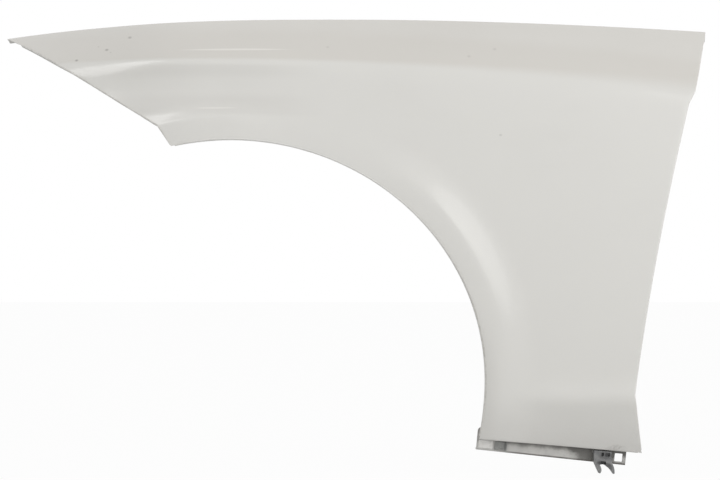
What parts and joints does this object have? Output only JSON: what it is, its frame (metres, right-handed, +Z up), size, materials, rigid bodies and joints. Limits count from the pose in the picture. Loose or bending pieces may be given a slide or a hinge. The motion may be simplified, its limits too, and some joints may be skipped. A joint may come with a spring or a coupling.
{
  "type": "car fender",
  "caption": "Pressed steel front fender for the left side, with turned flanges, a lower bracket, a plug nut and a forked trim clip.",
  "frame": {"origin": "underside of the bonnet ledge beside its second bolt slot, directly above the middle of the wheel arch", "axes": "+X towards the rear of the car, +Y inboard (the outer face looks along -Y), +Z up"},
  "size_m": [1.0353, 0.2496, 0.6524],
  "materials": {
    "body_paint": "gloss",
    "bracket_paint": "satin",
    "nut_plastic": "matte",
    "clip_plastic": "satin"
  },
  "bodies": {
    "root": {"fender_panel": "body_paint", "lower_bracket": "bracket_paint", "plug_nut": "nut_plastic", "sill_trim_clip": "clip_plastic"}
  },
  "joints": []
}
